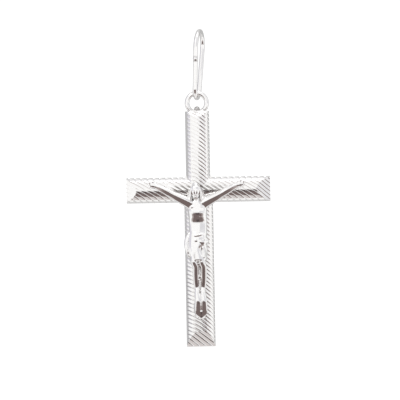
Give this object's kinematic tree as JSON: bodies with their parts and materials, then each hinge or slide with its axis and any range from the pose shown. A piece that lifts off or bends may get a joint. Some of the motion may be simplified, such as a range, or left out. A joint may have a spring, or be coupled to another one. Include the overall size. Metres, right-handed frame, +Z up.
{
  "type": "crucifix pendant",
  "caption": "Silver crucifix pendant: a rounded, diagonally grooved cross with a cast relief figure, hanging by its soldered eyelet from a closed wire bail.",
  "frame": {"origin": "inside top of the bail, where a chain runs through and the pendant hangs", "axes": "+Z up along the hanging cross, front of the cross and the figure facing -Y, +X to the viewer's right"},
  "size_m": [0.0187, 0.0048, 0.0413],
  "materials": {
    "bail_silver": "polished silver wire",
    "cross_silver": "polished silver with bright-cut diagonal grooves",
    "corpus_silver": "polished silver casting"
  },
  "bodies": {
    "bail": {"bail": "bail_silver"},
    "pendant": {"cross": "cross_silver", "corpus": "corpus_silver"}
  },
  "joints": [
    {"name": "pendant_swing", "type": "hinge", "parent": "bail", "child": "pendant", "pos_m": [-0.00054, 0, -0.00838], "axis": [0.2079, 0.9781, 0], "range_deg": [-90, 90]}
  ]
}
